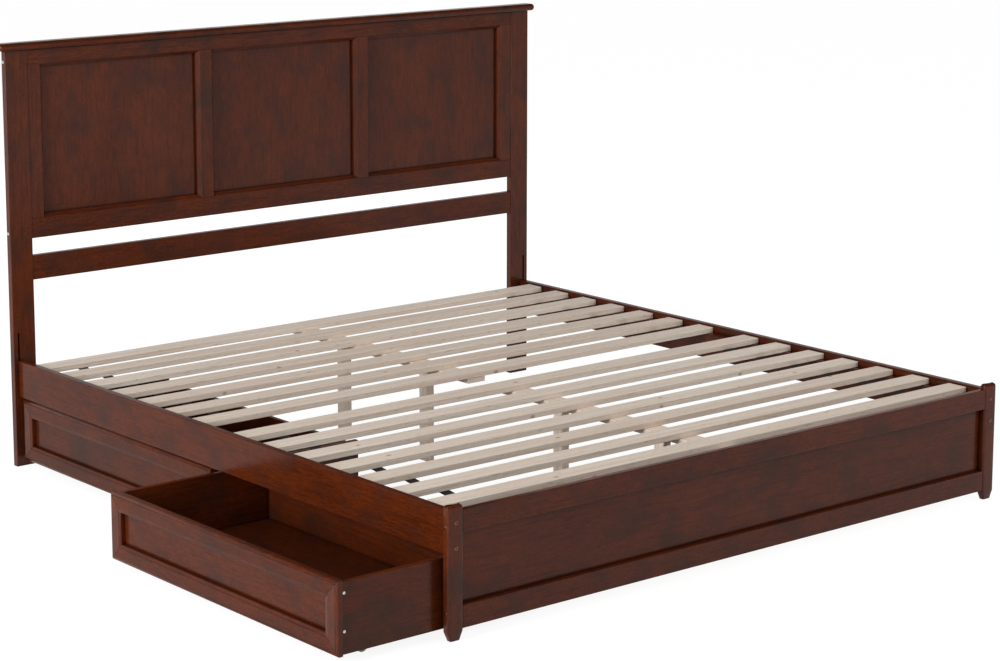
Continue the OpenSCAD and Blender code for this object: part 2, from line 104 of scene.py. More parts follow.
def length(label, size, words, low=0.0):
    """A length property; its size is in millimetres."""
    return bpy.props.FloatProperty(
        name=label, description=words, default=size * MM, min=low * MM, subtype="DISTANCE", unit="LENGTH")


# ---- Settings ----


class BedFinishes(bpy.types.PropertyGroup):
    """Colours of the bed's woods, metal and plastics."""

    stain_light: colour("Stain, light", "#682e13", "Where the walnut stain is thin over hard grain")
    stain_mid: colour("Stain, middle", "#4c1d0a", "The usual colour of the walnut stain")
    # Dark stain in the pores and streaks, and also the colour of the painted shade in corners and joints
    dark_stain_and_shade: colour("Stain, dark", "#220a03", "Stain gathered in the open pores and the corners")
    stain_cloud: colour("Stain, clouds", "#36211a", "Grey clouds where the wood took more stain")
    pine_light: colour("Pine, light", "#f1e7da", "Early wood of the bare slats")
    pine_dark: colour("Pine, dark", "#c8b39d", "Late wood lines of the bare slats")
    pine_rose: colour("Pine, rosy", "#d6b29f", "Rosy streaks of the bare slats")
    pine_knot: colour("Pine, knots", "#8f6a4d", "Small knots in the slats")
    webbing: colour("Webbing", "#121112", "Woven straps under the slats")
    # Painted sheen on the weave's crowns, and the grey of rubbed patches
    webbing_sheen_and_wear: colour("Webbing, worn", "#2f2d2e", "Crowns of the weave, rubbed grey")
    zinc: colour("Zinc", "#c4c2bd", "Plated screws and staples")
    zinc_dull: colour("Zinc, dull", "#8f8b80", "Cloudy patches of the zinc")
    bronze: colour("Bronzed steel", "#8a6354", "Bolts and screws in the foot posts")
    housing: colour("Caster housing", "#333436", "Moulded housings of the casters")
    nylon: colour("Wheel", "#d9d6cd", "Nylon of the wheels")
    scuff: colour("Scuffs", "#a8a7a2", "Scuffs on the casters")


class BedSizes(bpy.types.PropertyGroup):
    """Sizes of the small parts that are made here."""

    eased: length("Eased edges", 1.1, "Radius of the sanded edges of the boards")
    post_grow: length("Foot post fullness", 1, "How far a foot post's faces stand past its CAD solid's")
    post_round: length("Foot post front edges", 7.5, "Radius of a foot post's upright edges in front")
    post_back: length("Foot post back edges", 2, "Radius of a foot post's upright edges behind")
    post_dome: length("Foot post top", 9, "Radius of the rounding at a foot post's top")
    taper_height: length("Foot taper height", 25, "Height of the taper at a foot post's bottom")
    taper_x: length("Foot taper across", 10, "Inset of the taper on each side")
    taper_y: length("Foot taper along", 3, "Inset of the taper in front and behind")
    foot_edge: length("Foot edge", 1.5, "Rounding round the underside of a foot post")
    bolt_socket: length("Bolt socket", 2.6, "Radius of the hexagon socket in a bolt's head")
    bolt_shank: length("Bolt shank", 3, "Radius of a bolt's shank")
    screw_recess: length("Screw recess", 2.6, "Reach of the cross recess in a screw's head")
    post_shank: length("Post screw shank", 2.5, "Radius of a post screw's shank")
    side_screw_r: length("Drawer screw head", 4, "Radius of the screw heads on a drawer's sides")
    side_screw_h: length("Drawer screw height", 1, "Height of the screw heads on a drawer's sides")
    side_screw_shank: length("Drawer screw shank", 1.8, "Radius of a drawer screw's shank")
    side_screw_l: length("Drawer screw length", 14, "Length of a drawer screw's shank")
    side_screw_x: length("Drawer screw place", 24.5, "Distance from a drawer's face to its side screws")
    side_screw_low: length("Lower drawer screw", 82, "Height of the lower side screw")
    side_screw_high: length("Upper drawer screw", 177, "Height of the upper side screw")
    strap_sag: length("Webbing sag", 3.5, "How far a strap hangs down between two slats")
    staple: length("Staple", 11, "Length of a staple's crown")
    staple_width: length("Staple width", 1.2, "Width of a staple's flat wire")
    staple_wire: length("Staple thickness", 0.6, "Thickness of a staple's flat wire")
    staple_edge: length("Staple edges", 0.25, "Rounding of a staple's wire")
    # Painted shade: how far the ambient-occlusion darkening reaches out of a corner
    corner_shade: length("Gathered stain", 12, "How far dark stain reaches out of a corner")
    plate_screw_x: length("Caster screw inset across", 4.5, "From a caster plate's end to its screws")
    plate_screw_y: length("Caster screw inset along", 3.2, "From a caster plate's side to its screws")
    plate: length("Caster plate", 2, "Thickness of a caster's plate")
    plate_screw_r: length("Caster screw head", 2.4, "Radius of a caster screw's head")
    plate_screw_h: length("Caster screw height", 1.2, "Height of a caster screw's head")
    plate_screw_recess: length("Caster screw recess", 1.5, "Reach of the cross recess in its head")
    plate_screw_shank: length("Caster screw shank", 1.2, "Radius of a caster screw's shank")
    plate_screw_l: length("Caster screw length", 1.9, "Length of a caster screw's shank")
    wheel_bore: length("Wheel bore", 2.6, "Radius of the hole for a wheel's axle")
    wheel_hub: length("Wheel hub", 6.5, "Radius of a wheel's hub")
    wheel_rim: length("Wheel rim", 4.5, "Depth of a wheel's rim outside its web")
    wheel_dish: length("Wheel dish", 2.4, "How far a wheel's web is sunk on each side")
    wheel_shoulder: length("Wheel shoulders", 2.4, "Rounding of a wheel's tread on each side")


class BedStudio(bpy.types.PropertyGroup):
    """The camera and the light."""

    lens: bpy.props.FloatProperty(
        name="Lens", description="Focal length on a 36 mm sensor, in millimetres", default=94.97, min=20,
        unit="CAMERA")
    camera_place: bpy.props.FloatVectorProperty(
        name="Camera", description="Where the camera stands", default=(-4.807, -5.511, 2.109),
        subtype="TRANSLATION", unit="LENGTH")
    camera_down: bpy.props.FloatProperty(
        name="Camera tilt", description="How far the camera looks down", default=radians(9.97),
        subtype="ANGLE", unit="ROTATION")
    camera_turn: bpy.props.FloatProperty(
        name="Camera turn", description="How far the camera is turned from +Y to +X",
        default=radians(39.28), subtype="ANGLE", unit="ROTATION")
    camera_shift: bpy.props.FloatVectorProperty(
        name="Camera shift", description="Shift of the lens across and up, as a share of the width",
        size=2, default=(0.02, -0.11))
    key: bpy.props.FloatProperty(
        name="Key light", description="Power of the soft light low on the left, in watts", default=235,
        unit="POWER")
    fill: bpy.props.FloatProperty(
        name="Fill light", description="Power of the soft light in front of the foot, in watts",
        default=97, unit="POWER")
    back: bpy.props.FloatProperty(
        name="Back light", description="Power of the soft light behind the headboard, in watts",
        default=80, unit="POWER")
    ceiling: bpy.props.FloatProperty(
        name="Ceiling", description="Brightness of the soft light from overhead", default=0.55, min=0)
    floor: bpy.props.FloatProperty(
        name="Floor", description="Paleness of the floor where it lights the bed", default=0.7, min=0,
        max=1, subtype="FACTOR")


# ---- Building ----


def node(tree, kind, inputs=None, **settings):
    """Adds a node: settings are its own properties, inputs its sockets' values or what feeds them."""
    made = tree.nodes.new(kind)
    for name, value in settings.items():
        setattr(made, name, value)
    for key, value in (inputs or {}).items():
        if isinstance(value, bpy.types.NodeSocket):
            tree.links.new(value, made.inputs[key])
        else:
            made.inputs[key].default_value = value
    return made


def opaque(rgb):
    """A property's colour with the fourth number that a colour socket takes."""
    return (*rgb, 1.0)


def new_material(name, **sockets):
    """An empty material: its tree and its Principled shader, with constants set on the shader's sockets."""
    material = bpy.data.materials.new(name)
    material.use_nodes = True
    tree = material.node_tree
    tree.nodes.clear()
    shader = node(tree, "ShaderNodeBsdfPrincipled")
    for label, value in sockets.items():
        shader.inputs[label.replace("_", " ")].default_value = value
    node(tree, "ShaderNodeOutputMaterial", {"Surface": shader.outputs["BSDF"]})
    return material, tree, shader


def figure(tree, place, across, along, axis, detail, spread=(0.35, 0.65)):
    """Soft noise drawn out along the grain.

    Across and along are its size in mm; spread is the range of it that becomes 0 to 1.
    """
    scale = [1 / (across * MM)] * 3
    scale[axis] = 1 / (along * MM)
    placed = node(tree, "ShaderNodeMapping", {"Vector": place, "Scale": scale})
    noise = node(tree, "ShaderNodeTexNoise", {"Vector": placed.outputs[0], "Scale": 1.0, "Detail": detail})
    return node(tree, "ShaderNodeMapRange", {
        "Value": noise.outputs["Fac"], "From Min": spread[0], "From Max": spread[1]}).outputs["Result"]


def layered(tree, ground, *layers):
    """Lays colours over a ground.

    Each layer has its figure, the least and most that it covers, and its colour.
    """
    for share, least, most, rgb in layers:
        cover = node(tree, "ShaderNodeMapRange", {"Value": share, "To Min": least, "To Max": most})
        ground = node(tree, "ShaderNodeMix", {
            0: cover.outputs["Result"], 6: ground, 7: opaque(rgb)}, data_type="RGBA").outputs[2]
    return ground


def piece(name, mesh, body, materials, stands_for=(), sharp=35):
    """Puts a finished bmesh into the scene as a piece of the bed."""
    bmesh.ops.recalc_face_normals(mesh, faces=mesh.faces[:])
    for face in mesh.faces:
        face.smooth = True
    data = bpy.data.meshes.new(name)
    mesh.to_mesh(data)
    mesh.free()
    data.set_sharp_from_angle(angle=radians(sharp))
    for material in materials:
        data.materials.append(material)
    made = bpy.data.objects.new(name, data)
    bpy.context.scene.collection.objects.link(made)
    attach(made, body)
    if stands_for:
        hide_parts(*stands_for)
    return made


def rounded(mesh, edges, radius, segments):
    """Rounds edges to a radius."""
    bmesh.ops.bevel(mesh, geom=edges, offset=radius, offset_type="OFFSET", segments=segments,
        profile=0.5, affect="EDGES", material=-1)


def gather(mesh, shape):
    """Adds a finished shape to the mesh that gathers its like."""
    copy = bpy.data.meshes.new("shape")
    shape.to_mesh(copy)
    shape.free()
    mesh.from_mesh(copy)
    bpy.data.meshes.remove(copy)


def dress(material, *names, eased=0.0):
    """Gives CAD nodes their finish and, where eased is given, rounds their sharp edges to that radius."""
    for name in names:
        for place in nodes[name].material_slots:
            place.material = material
        if eased:
            nodes[name].modifiers.new("merged", "WELD").merge_threshold = MERGE
            edges = nodes[name].modifiers.new("eased_edges", "BEVEL")
            edges.width, edges.segments, edges.angle_limit = eased, 2, EASED_ANGLE


def solids(name):
    """The lowest and highest corner of each separate solid of a CAD node."""
    copy = bmesh.new()
    copy.from_mesh(nodes[name].data)
    bmesh.ops.remove_doubles(copy, verts=copy.verts[:], dist=MERGE)
    waiting = set(copy.verts)
    boxes = []
    while waiting:
        newest = {waiting.pop()}
        solid = set(newest)
        while newest:
            newest = {e.other_vert(v) for v in newest for e in v.link_edges} - solid
            solid |= newest
        waiting -= solid
        boxes.append([Vector(pick(v.co[i] for v in solid) for i in range(3)) for pick in (min, max)])
    copy.free()
    return sorted(boxes, key=lambda box: tuple(box[0]))


def ring(mesh, edges, radius, height, start):
    """Extrudes a ring of edges to a new radius and height; start is the radius that it has."""
    grown = bmesh.ops.extrude_edge_only(mesh, edges=edges)["geom"]
    verts = [g for g in grown if isinstance(g, bmesh.types.BMVert)]
    for vert in verts:
        vert.co.x *= radius / start
        vert.co.y *= radius / start
        vert.co.z = height
    return [g for g in grown if isinstance(g, bmesh.types.BMEdge)]


def fastener(mesh, place, out, head_r, head_h, recess, shank_r, shank_l, star=False, finish=0):
    """A bolt or screw: a low domed head with a recess, its shank behind it, facing out at place."""
    shape = bmesh.new()
    bmesh.ops.create_circle(shape, cap_ends=True, segments=24, radius=shank_r)
    bmesh.ops.translate(shape, verts=shape.verts[:], vec=(0, 0, -shank_l))
    edges = ring(shape, shape.edges[:], shank_r, 0, shank_r)
    edges = ring(shape, edges, head_r, 0, shank_r)
    wide = head_r
    for across, up in DOME:
        edges = ring(shape, edges, across * head_r, up * head_h, wide)
        wide = across * head_r
    sides = 8 if star else 6
    socket = bmesh.ops.create_circle(shape, segments=sides, radius=recess)["verts"]
    for i, vert in enumerate(socket):
        vert.co.z = head_h
        if star and i % 2:
            vert.co.xy *= CROSS_WAIST
    mouth = [e for e in shape.edges if e.verts[0] in socket]
    bmesh.ops.bridge_loops(shape, edges=edges + mouth)
    floor = ring(shape, mouth, RECESS_WIDTH * recess, RECESS_HEIGHT * head_h, recess)
    bmesh.ops.edgeloop_fill(shape, edges=floor)
    for face in shape.faces:
        face.material_index = finish
    turn = Vector((0, 0, 1)).rotation_difference(Vector(out)).to_matrix().to_4x4()
    bmesh.ops.transform(shape, verts=shape.verts[:], matrix=Matrix.Translation(place) @ turn)
    gather(mesh, shape)


# ---- Finishes ----


def stained_wood(name, axis, shift, finishes, roughness=0.17, shade=0.0):
    """Rubberwood in a walnut stain under a smooth, semi-gloss lacquer.

    The eye sees faint broken fibres and short dark pores along the grain, soft grey clouds and blotches
    where the wood drank more stain, dark lines of painted shade from ambient occlusion in corners, recesses
    and joints, which also stand for stain gathered there, and a lacquer that mirrors the pale floor as an
    even haze, least on the boards that lie along the bed. Real pores are a fifth of a millimetre wide and
    are drawn coarser here, so that they show. Shade darkens a piece's stain.
    """
    material, tree, shader = new_material(name, IOR=LACQUER_IOR[axis])
    placed = node(tree, "ShaderNodeMapping", {
        "Vector": node(tree, "ShaderNodeTexCoord").outputs["Object"], "Location": shift}).outputs[0]
    tone = figure(tree, placed, 170, 420, axis, 3, (0.36, 0.64))
    clouds = figure(tree, placed, 85, 120, axis, 4, (0.48, 0.72))
    blotches = figure(tree, placed, 24, 40, axis, 5, (0.46, 0.7))
    fibres = figure(tree, placed, 2.6, 30, axis, 6, (0.38, 0.62))
    streaks = figure(tree, placed, 7, 110, axis, 5, (0.48, 0.68))
    pores = figure(tree, placed, 1.6, 7, axis, 3, (0.52, 0.68))
    # Painted shade: ambient occlusion darkens the stain in corners, recesses and joints, partly standing for
    # stain gathered there
    reach = bpy.context.scene.bed_sizes.corner_shade
    corners = node(tree, "ShaderNodeAmbientOcclusion", {"Distance": reach}, samples=16)
    corner_shade = node(tree, "ShaderNodeMapRange", {
        "Value": corners.outputs["AO"], "From Min": 0.9, "From Max": 0.35}).outputs["Result"]
    stain = layered(tree, opaque(finishes.stain_mid),
        (tone, 0.0, 0.5, finishes.stain_light), (fibres, 0.0, 0.55, finishes.stain_light),
        (streaks, 0.0, 0.35, finishes.dark_stain_and_shade), (clouds, 0.0, 0.75, finishes.stain_cloud),
        (blotches, 0.0, 0.35, finishes.stain_cloud), (pores, shade, shade + 0.6, finishes.dark_stain_and_shade),
        (corner_shade, 0.0, 0.85, finishes.dark_stain_and_shade))
    tree.links.new(stain, shader.inputs["Base Color"])
    dull = node(tree, "ShaderNodeMapRange", {
        "Value": blotches, "To Min": roughness, "To Max": roughness + 0.08})
    tree.links.new(dull.outputs["Result"], shader.inputs["Roughness"])
    relief = node(tree, "ShaderNodeMath", {0: pores, 1: fibres}, operation="ADD")
    bump = node(tree, "ShaderNodeBump", {
        "Height": relief.outputs[0], "Strength": 0.25, "Distance": 0.06 * MM}, invert=True)
    tree.links.new(bump.outputs[0], shader.inputs["Normal"])
    return material


def bare_pine(name, axis, shift, finishes, start=0.0, step=1000.0):
    """Planed pine with no finish.

    Pale early wood with narrow tan lines of late wood and rosy streaks along the board, a small knot here
    and there, and each slat a little lighter or darker than the next. Start and step, in mm, mark off the
    slats along the bed.
    """
    material, tree, shader = new_material(name, Roughness=0.62)
    place = node(tree, "ShaderNodeTexCoord").outputs["Object"]
    # A cell for each slat along the bed; across and upwards one cell holds the whole bed
    counted = node(tree, "ShaderNodeMapping", {
        "Vector": place, "Location": (100, -start * MM, 100)}).outputs[0]
    slat = node(tree, "ShaderNodeVectorMath", {
        0: counted, 1: (200, step * MM, 200)}, operation="SNAP").outputs[0]
    chance = node(tree, "ShaderNodeTexWhiteNoise", {"Vector": slat}, noise_dimensions="3D")
    away = node(tree, "ShaderNodeVectorMath", {
        0: chance.outputs["Color"], 1: shift}, operation="MULTIPLY_ADD").outputs[0]
    moved = node(tree, "ShaderNodeVectorMath", {0: place, 1: away}, operation="ADD").outputs[0]
    lines = figure(tree, moved, 2.2, 380, axis, 3, (0.42, 0.66))
    broad = figure(tree, moved, 16, 600, axis, 2, (0.35, 0.65))
    fibres = figure(tree, moved, 0.5, 18, axis, 2, (0.4, 0.62))
    flecks = figure(tree, moved, 5, 26, axis, 3, (0.58, 0.72))
    # At most one knot in each cell of about 95 by 150 mm
    knot_scale = [1 / (95 * MM)] * 3
    knot_scale[axis] = 1 / (150 * MM)
    spread = node(tree, "ShaderNodeTexVoronoi", {
        "Vector": node(tree, "ShaderNodeMapping", {"Vector": moved, "Scale": knot_scale}).outputs[0],
        "Scale": 1.0})
    knots = node(tree, "ShaderNodeMapRange", {
        "Value": spread.outputs["Distance"], "From Min": 0.075, "From Max": 0.03}).outputs["Result"]
    wood = layered(tree, opaque(finishes.pine_light),
        (chance.outputs["Value"], 0.0, 0.3, finishes.pine_dark), (lines, 0.0, 0.6, finishes.pine_dark),
        (broad, 0.0, 0.3, finishes.pine_rose), (flecks, 0.0, 0.3, finishes.pine_knot),
        (knots, 0.0, 0.7, finishes.pine_knot))
    tree.links.new(wood, shader.inputs["Base Color"])
    bump = node(tree, "ShaderNodeBump", {"Height": fibres, "Strength": 0.3, "Distance": 0.1 * MM})
    tree.links.new(bump.outputs[0], shader.inputs["Normal"])
    return material


def woven_webbing(finishes):
    """Black polypropylene webbing: close ribs across the strap and a faint grey sheen on their crowns."""
    material, tree, shader = new_material(
        "woven_webbing", Roughness=0.8, IOR=1.3, Sheen_Weight=0.05, Sheen_Roughness=0.4)
    place = node(tree, "ShaderNodeTexCoord").outputs["Object"]
    ribs = node(tree, "ShaderNodeTexWave", {
        "Vector": place, "Scale": pi / (10 * 1.7 * MM), "Distortion": 0.4, "Detail": 1.0},
        bands_direction="Y").outputs["Fac"]
    yarns = node(tree, "ShaderNodeTexWave", {
        "Vector": place, "Scale": pi / (10 * 1.2 * MM), "Distortion": 0.4, "Detail": 1.0},
        bands_direction="X").outputs["Fac"]
    weave = node(tree, "ShaderNodeMath", {0: ribs, 1: yarns}, operation="MULTIPLY").outputs[0]
    wear = figure(tree, place, 9, 40, Y, 3)
    # The weave's crowns get this grey as a painted sheen; the wear figure adds rubbed patches
    black = layered(tree, opaque(finishes.webbing),
        (weave, 0.0, 0.5, finishes.webbing_sheen_and_wear), (wear, 0.0, 0.3, finishes.webbing_sheen_and_wear))
    tree.links.new(black, shader.inputs["Base Color"])
    bump = node(tree, "ShaderNodeBump", {"Height": weave, "Strength": 0.8, "Distance": 0.35 * MM})
    tree.links.new(bump.outputs[0], shader.inputs["Normal"])
    return material


def plated_steel(name, rgb, dull):
    """Plated steel: a bright satin metal with a slightly cloudy skin."""
    material, tree, shader = new_material(name, Metallic=1.0)
    cloudy = figure(tree, node(tree, "ShaderNodeTexCoord").outputs["Object"], 1.6, 1.6, X, 3)
    tree.links.new(layered(tree, opaque(rgb), (cloudy, 0.0, 0.35, dull)), shader.inputs["Base Color"])
    satin = node(tree, "ShaderNodeMapRange", {"Value": cloudy, "To Min": 0.26, "To Max": 0.42})
    tree.links.new(satin.outputs["Result"], shader.inputs["Roughness"])
    return material


def moulded_plastic(name, rgb, scuff, roughness, grain):
    """Moulded plastic: an even colour, a fine spark-eroded grain and a few paler scuffs.

    The grain's size is in mm, and coarser than the real tenth of a millimetre, so that it shows.
    """
    material, tree, shader = new_material(name)
    place = node(tree, "ShaderNodeTexCoord").outputs["Object"]
    texture = figure(tree, place, grain, grain, X, 2)
    scuffs = figure(tree, place, 4, 11, X, 4, (0.6, 0.75))
    tree.links.new(layered(tree, opaque(rgb), (scuffs, 0.0, 0.25, scuff)), shader.inputs["Base Color"])
    dull = node(tree, "ShaderNodeMapRange", {"Value": scuffs, "To Min": roughness, "To Max": roughness + 0.2})
    tree.links.new(dull.outputs["Result"], shader.inputs["Roughness"])
    bump = node(tree, "ShaderNodeBump", {"Height": texture, "Strength": 0.2, "Distance": 0.05 * MM})
    tree.links.new(bump.outputs[0], shader.inputs["Normal"])
    return material


def frame_stain(axis):
    """The bed frame's stain with its grain along an axis; made once for each axis."""
    name = ("frame_stain_across", "frame_stain_along", "frame_stain_upright")[axis]
    if name in bpy.data.materials:
        return bpy.data.materials[name]
    shift = ((3.1, 7.7, 1.3), (8.4, 2.9, 5.2), (1.7, 4.6, 9.8))[axis]
    return stained_wood(name, axis, shift, bpy.context.scene.bed_finishes)


# ---- Operators ----


class BED_OT_stage(bpy.types.Operator):
    """Sets up the floor, the soft lights, the pale surroundings and the camera."""

    bl_idname = "bed.stage"
    bl_label = "Studio and camera"

    def execute(self, context):
        studio = context.scene.bed_studio
        self.floor(context, studio.floor)
        self.surroundings(context, studio.ceiling)
        self.lamp(context, "key_light", studio.key)
        self.lamp(context, "fill_light", studio.fill)
        self.lamp(context, "back_light", studio.back)
        camera = bpy.data.cameras.new("camera")
        camera.lens = studio.lens
        camera.shift_x, camera.shift_y = studio.camera_shift
        camera.clip_end = 100
        stand = bpy.data.objects.new("camera", camera)
        stand.location = studio.camera_place
        stand.rotation_euler = (pi / 2 - studio.camera_down, 0, -studio.camera_turn)
        context.scene.collection.objects.link(stand)
        context.scene.camera = stand
        context.scene.view_settings.view_transform = "Standard"
        return {"FINISHED"}

    def floor(self, context, paleness):
        """A pale floor: white to the camera, a little greyer under the bed, less bright to the bed itself."""
        mesh = bmesh.new()
        bmesh.ops.create_grid(mesh, x_segments=1, y_segments=1, size=FLOOR_REACH)
        data = bpy.data.meshes.new("floor")
        mesh.to_mesh(data)
        mesh.free()
        material = bpy.data.materials.new("pale_floor")
        material.use_nodes = True
        tree = material.node_tree
        tree.nodes.clear()
        path = node(tree, "ShaderNodeLightPath").outputs
        seen = path["Is Camera Ray"]
        for ray in ("Is Glossy Ray", "Is Transmission Ray"):
            seen = node(tree, "ShaderNodeMath", {0: seen, 1: path[ray]}, operation="MAXIMUM").outputs[0]
        tone = node(tree, "ShaderNodeMix", {0: seen, 2: paleness, 3: FLOOR_SEEN}).outputs[0]
        glow = node(tree, "ShaderNodeMix", {0: seen, 2: 0.0, 3: FLOOR_GLOW}).outputs[0]
        both = node(tree, "ShaderNodeAddShader", {
            0: node(tree, "ShaderNodeBsdfDiffuse", {"Color": tone}).outputs[0],
            1: node(tree, "ShaderNodeEmission", {"Strength": glow}).outputs[0]})
        node(tree, "ShaderNodeOutputMaterial", {"Surface": both.outputs[0]})
        data.materials.append(material)
        floor = bpy.data.objects.new("floor", data)
        context.scene.collection.objects.link(floor)

    def surroundings(self, context, ceiling):
        """White to the camera; a soft ceiling lights the bed, and the lacquer mirrors a pale horizon."""
        world = bpy.data.worlds.new("pale_studio")
        world.use_nodes = True
        tree = world.node_tree
        tree.nodes.clear()
        path = node(tree, "ShaderNodeLightPath").outputs
        height = node(tree, "ShaderNodeSeparateXYZ", {
            0: node(tree, "ShaderNodeTexCoord").outputs["Generated"]}).outputs["Z"]
        glossy = path["Is Glossy Ray"]
        low = node(tree, "ShaderNodeMix", {0: glossy, 2: 0.0, 3: HORIZON}).outputs[0]
        high = node(tree, "ShaderNodeMix", {0: glossy, 2: ceiling, 3: OVERHEAD}).outputs[0]
        room = node(tree, "ShaderNodeMapRange", {
            "Value": height, "From Min": HORIZON_TOP, "From Max": OVERHEAD_FOOT, "To Min": low,
            "To Max": high}, interpolation_type="SMOOTHSTEP").outputs["Result"]
        seen = node(tree, "ShaderNodeMath", {
            0: path["Is Camera Ray"], 1: path["Is Transmission Ray"]}, operation="MAXIMUM").outputs[0]
        strength = node(tree, "ShaderNodeMix", {0: seen, 2: room, 3: 1.0}).outputs[0]
        light = node(tree, "ShaderNodeBackground", {"Color": opaque((1, 1, 1)), "Strength": strength})
        node(tree, "ShaderNodeOutputWorld", {"Surface": light.outputs[0]})
        context.scene.world = world

    def lamp(self, context, name, power):
        """A large square soft light."""
        place, aim, size, mirrored = LAMPS[name]
        data = bpy.data.lights.new(name, "AREA")
        data.size = size
        data.energy = power
        made = bpy.data.objects.new(name, data)
        made.location = place
        made.visible_glossy = mirrored
        made.rotation_euler = (Vector(aim) - Vector(place)).to_track_quat("-Z", "Y").to_euler()
        context.scene.collection.objects.link(made)


class BED_OT_metal(bpy.types.Operator):
    """Mixes the zinc and bronzed finishes that the bolts, screws and staples share."""

    bl_idname = "bed.metal"
    bl_label = "Metal finishes"

    def execute(self, context):
        finishes = context.scene.bed_finishes
        plated_steel("zinc_steel", finishes.zinc, finishes.zinc_dull)
        plated_steel("bronzed_steel", finishes.bronze, finishes.dark_stain_and_shade)
        return {"FINISHED"}


class BED_OT_headboard(bpy.types.Operator):
    """Finishes the headboard: posts, cap, rails, stiles and three panels."""

    bl_idname = "bed.headboard"
    bl_label = "Headboard"

    def execute(self, context):
        finishes, eased = context.scene.bed_finishes, context.scene.bed_sizes.eased
        dress(frame_stain(Z), "headboard_post_left", "headboard_post_right", "headboard_stile_left",
            "headboard_stile_right", "headboard_muntin_left", "headboard_muntin_right", eased=eased)
        dress(frame_stain(X), "headboard_cap", "headboard_top_rail", "headboard_bottom_rail",
            "headboard_lower_rail", eased=eased)
        for i, part in enumerate(("left", "middle", "right")):
            panel = stained_wood(f"headboard_panel_veneer_{part}", Z, (2.3 * i + 0.9, 5.1, 3.7 * i), finishes)
            dress(panel, f"headboard_panel_{part}")
        return {"FINISHED"}


class BED_OT_footboard(bpy.types.Operator):
    """Finishes the footboard and makes its two rounded, tapered posts."""

    bl_idname = "bed.footboard"
    bl_label = "Footboard"

    def execute(self, context):
        finishes = context.scene.bed_finishes
        dress(frame_stain(X), "footboard_top_rail", "footboard_bottom_rail",
            eased=context.scene.bed_sizes.eased)
        dress(stained_wood("footboard_panel_veneer", X, (6.2, 0.4, 8.8), finishes), "footboard_panel")
        for side in ("left", "right"):
            self.post(context.scene.bed_sizes, side)
        return {"FINISHED"}

    def post(self, sizes, side):
        """A flat post with round upright edges, a domed top and a tapered foot."""
        low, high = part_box(f"footboard_post_{side}")
        low -= Vector((1, 1, 0)) * sizes.post_grow
        high += Vector((1, 1, 0)) * sizes.post_grow
        size = high - low
        middle = (low + high) / 2
        mesh = bmesh.new()
        bmesh.ops.create_cube(mesh, size=1, matrix=Matrix.LocRotScale(middle, None, size))
        for front, radius in ((True, sizes.post_round), (False, sizes.post_back)):
            upright = [e for e in mesh.edges if abs(e.verts[0].co.z - e.verts[1].co.z) > size.z / 2
                and all((v.co.y - (low.y if front else high.y)) ** 2 < MM ** 2 for v in e.verts)
                and all(min(v.co.x - low.x, high.x - v.co.x) < MM for v in e.verts)]
            rounded(mesh, upright, radius, 8)
        bmesh.ops.bisect_plane(mesh, geom=mesh.verts[:] + mesh.edges[:] + mesh.faces[:],
            plane_co=(0, 0, sizes.taper_height), plane_no=(0, 0, 1))
        for vert in mesh.verts:
            if vert.co.z < sizes.taper_height / 2:
                vert.co.x = middle.x + (vert.co.x - middle.x) * (1 - 2 * sizes.taper_x / size.x)
                vert.co.y = middle.y + (vert.co.y - middle.y) * (1 - 2 * sizes.taper_y / size.y)
        rim = [e for e in mesh.edges if all(v.co.z > high.z - MM for v in e.verts)]
        rounded(mesh, rim, sizes.post_dome, 6)
        foot = [e for e in mesh.edges if all(v.co.z < MM for v in e.verts)]
        rounded(mesh, foot, sizes.foot_edge, 2)
        bmesh.ops.remove_doubles(mesh, verts=mesh.verts[:], dist=MERGE)
        piece(f"foot_post_{side}", mesh, "bed_frame", [frame_stain(Z)],
            [f"footboard_post_{side}"], sharp=50)


class BED_OT_side_rails(bpy.types.Operator):
    """Finishes the side rails and the ledgers that carry the slats."""

    bl_idname = "bed.side_rails"
    bl_label = "Side rails"

    def execute(self, context):
        dress(frame_stain(Y), "side_rail_left", "side_rail_right", "slat_ledger_left", "slat_ledger_right",
            eased=context.scene.bed_sizes.eased)
        return {"FINISHED"}


